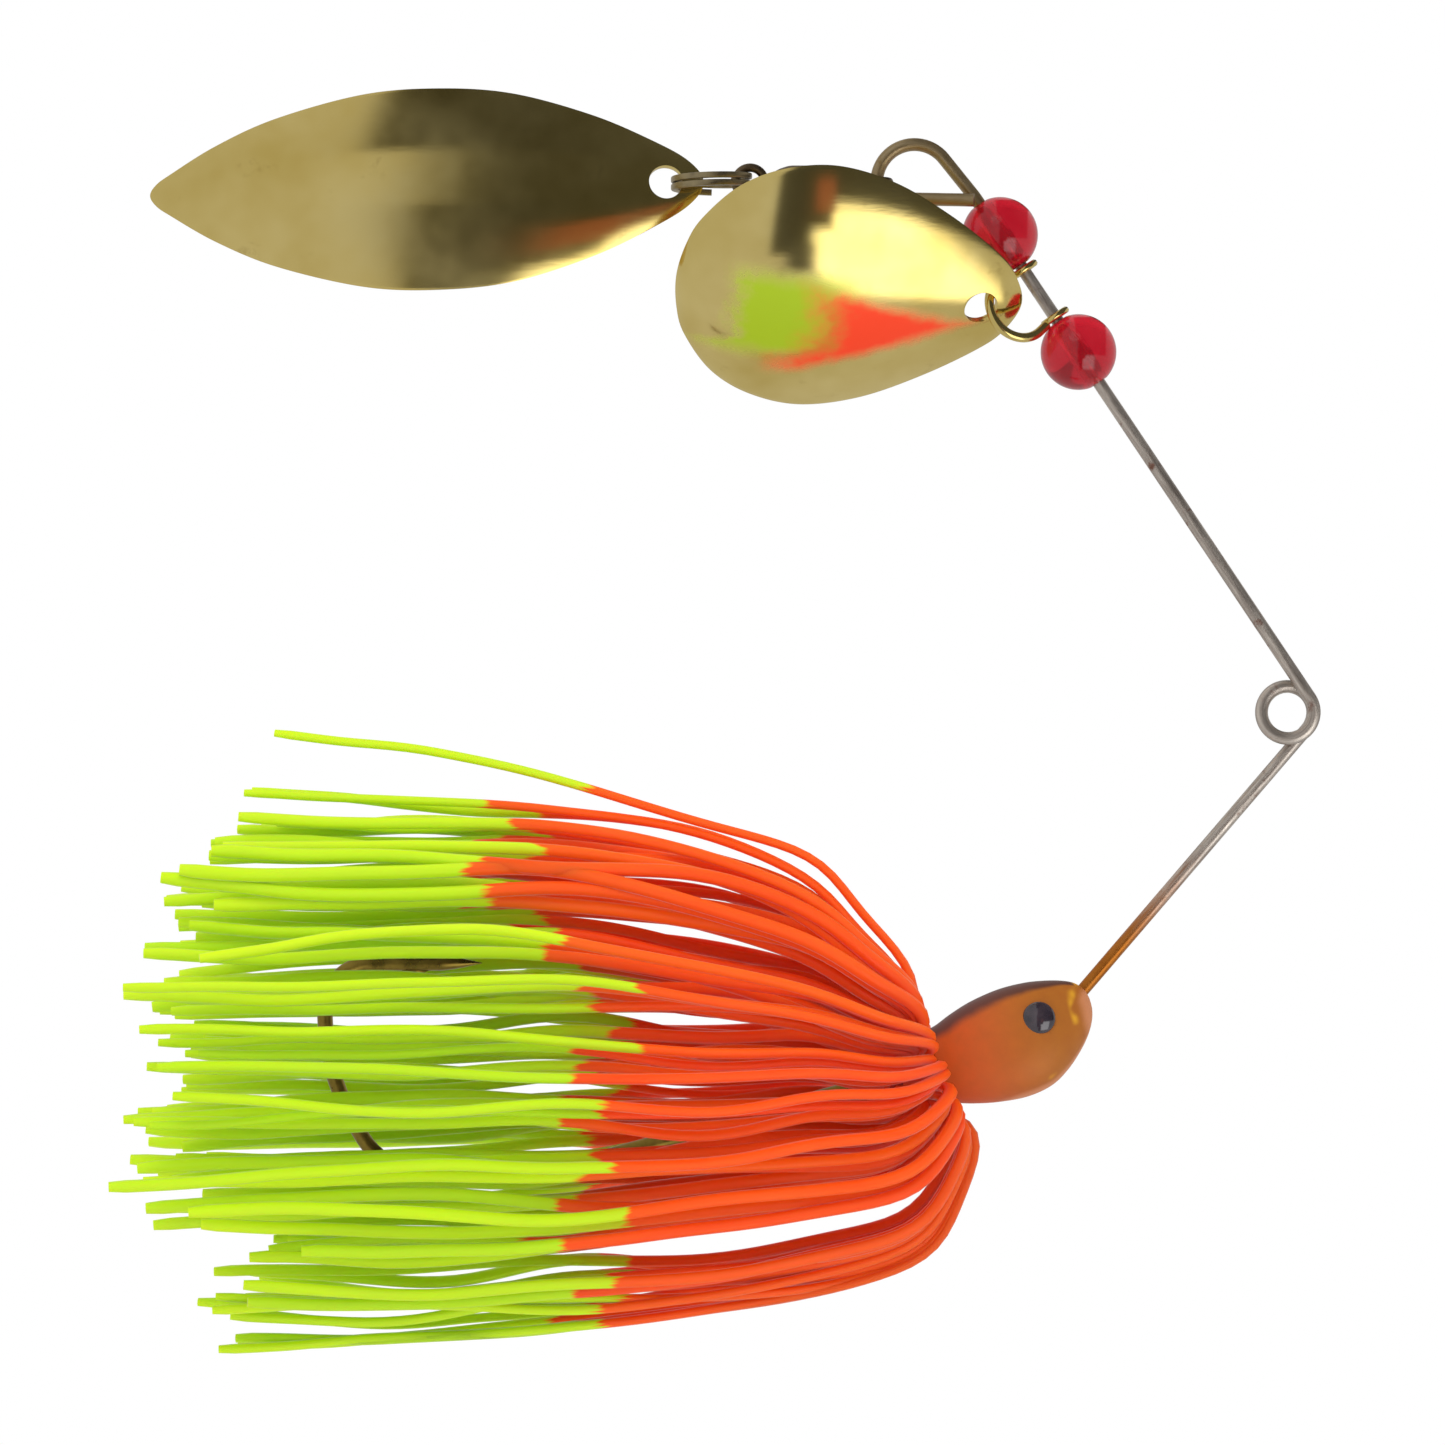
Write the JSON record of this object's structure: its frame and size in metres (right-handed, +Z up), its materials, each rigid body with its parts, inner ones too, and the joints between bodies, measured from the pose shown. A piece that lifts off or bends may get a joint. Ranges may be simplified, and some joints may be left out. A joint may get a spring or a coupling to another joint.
{
  "type": "tandem-blade spinnerbait",
  "caption": "Overhead-arm spinner lure: bent wire with a line-tie coil, painted head, hook and two-tone skirt, beads on a clevis, cupped gold blades and a barrel swivel.",
  "frame": {"origin": "centre of the line-tie coil, where the line pulls", "axes": "+X the way the lure travels, from the skirt tips to the line tie; +Z up, from the hook arm to the blade arm; +Y to the lure's left"},
  "size_m": [0.0821, 0.0307, 0.0873],
  "materials": {
    "steel_wire": "drawn spring-steel wire, dull grey, with lacquer run up the lower arm and a warm tint on the end loop",
    "gold_plate": "polished gold plating with fine scratches; airbrushed lure paint on the front blade",
    "swivel_metal": "dark tarnished brass, satin",
    "red_bead": "clear red acrylic, glossy",
    "head_paint": "pearl gold-orange lacquer over cast lead, dark back, gloss",
    "eye": "domed black lacquer, gloss",
    "bronze_hook": "bronze-gold lacquered hook wire",
    "skirt_silicone": "translucent silicone, orange at the head changing to chartreuse at the tips"
  },
  "bodies": {
    "frame": {"wire_frame": "steel_wire", "head": "head_paint", "hook": "bronze_hook", "eye_left": "eye", "eye_right": "eye", "skirt_collar": "skirt_silicone", "skirt_strand_01": "skirt_silicone", "skirt_strand_02": "skirt_silicone", "skirt_strand_03": "skirt_silicone", "skirt_strand_04": "skirt_silicone", "skirt_strand_05": "skirt_silicone", "skirt_strand_06": "skirt_silicone", "skirt_strand_07": "skirt_silicone", "skirt_strand_08": "skirt_silicone", "skirt_strand_09": "skirt_silicone", "skirt_strand_10": "skirt_silicone", "skirt_strand_11": "skirt_silicone", "skirt_strand_12": "skirt_silicone", "skirt_strand_13": "skirt_silicone", "skirt_strand_14": "skirt_silicone", "skirt_strand_15": "skirt_silicone", "skirt_strand_16": "skirt_silicone", "skirt_strand_17": "skirt_silicone", "skirt_strand_18": "skirt_silicone", "skirt_strand_19": "skirt_silicone", "skirt_strand_20": "skirt_silicone", "skirt_strand_21": "skirt_silicone", "skirt_strand_22": "skirt_silicone", "skirt_strand_23": "skirt_silicone", "skirt_strand_24": "skirt_silicone", "skirt_strand_25": "skirt_silicone", "skirt_strand_26": "skirt_silicone", "skirt_strand_27": "skirt_silicone", "skirt_strand_28": "skirt_silicone", "skirt_strand_29": "skirt_silicone", "skirt_strand_30": "skirt_silicone", "skirt_strand_31": "skirt_silicone", "skirt_strand_32": "skirt_silicone", "skirt_strand_33": "skirt_silicone", "skirt_strand_34": "skirt_silicone", "skirt_strand_35": "skirt_silicone", "skirt_strand_36": "skirt_silicone", "skirt_strand_37": "skirt_silicone", "skirt_strand_38": "skirt_silicone", "skirt_strand_39": "skirt_silicone", "skirt_strand_40": "skirt_silicone", "skirt_strand_41": "skirt_silicone", "skirt_strand_42": "skirt_silicone"},
    "lower_bead_body": {"lower_bead": "red_bead"},
    "upper_bead_body": {"upper_bead": "red_bead"},
    "clevis_body": {"clevis": "gold_plate"},
    "front_blade_body": {"front_blade": "gold_plate"},
    "front_eye_body": {"swivel_front_eye": "swivel_metal"},
    "barrel_body": {"swivel_barrel": "swivel_metal"},
    "rear_eye_body": {"swivel_rear_eye": "swivel_metal"},
    "ring_body": {"split_ring": "gold_plate"},
    "rear_blade_body": {"rear_blade": "gold_plate"}
  },
  "joints": [
    {"name": "stack_slide", "type": "slide", "parent": "frame", "child": "lower_bead_body", "axis": [-0.5563, 0, 0.831], "range_m": [-0.0238, 0]},
    {"name": "clevis_spin", "type": "hinge", "parent": "lower_bead_body", "child": "clevis_body", "pos_m": [-0.01721, -0.0006, 0.02895], "axis": [-0.5563, 0, 0.831], "continuous": true},
    {"name": "upper_bead_spin", "type": "hinge", "parent": "lower_bead_body", "child": "upper_bead_body", "pos_m": [-0.01992, -0.0006, 0.03299], "axis": [-0.5563, 0, 0.831], "continuous": true},
    {"name": "front_blade_swing", "type": "hinge", "parent": "clevis_body", "child": "front_blade_body", "pos_m": [-0.02072, -0.00263, 0.02787], "axis": [-0.1533, 0.2347, 0.9599], "range_deg": [-60, 20]},
    {"name": "swivel_swing", "type": "hinge", "parent": "frame", "child": "front_eye_body", "pos_m": [-0.02584, -0.0006, 0.03664], "axis": [0, 1, 0], "range_deg": [0, 80]},
    {"name": "barrel_spin", "type": "hinge", "parent": "front_eye_body", "child": "barrel_body", "pos_m": [-0.03289, -0.0006, 0.03664], "axis": [1, 0, 0], "continuous": true},
    {"name": "rear_eye_spin", "type": "hinge", "parent": "barrel_body", "child": "rear_eye_body", "pos_m": [-0.03719, -0.0006, 0.03664], "axis": [1, 0, 0], "continuous": true},
    {"name": "ring_swing", "type": "hinge", "parent": "rear_eye_body", "child": "ring_body", "pos_m": [-0.0373, -0.0006, 0.03664], "axis": [0, 1, 0], "range_deg": [-20, 45]},
    {"name": "rear_blade_swing", "type": "hinge", "parent": "ring_body", "child": "rear_blade_body", "pos_m": [-0.04242, -0.0006, 0.03664], "axis": [0, 1, 0], "range_deg": [-50, 50]}
  ]
}
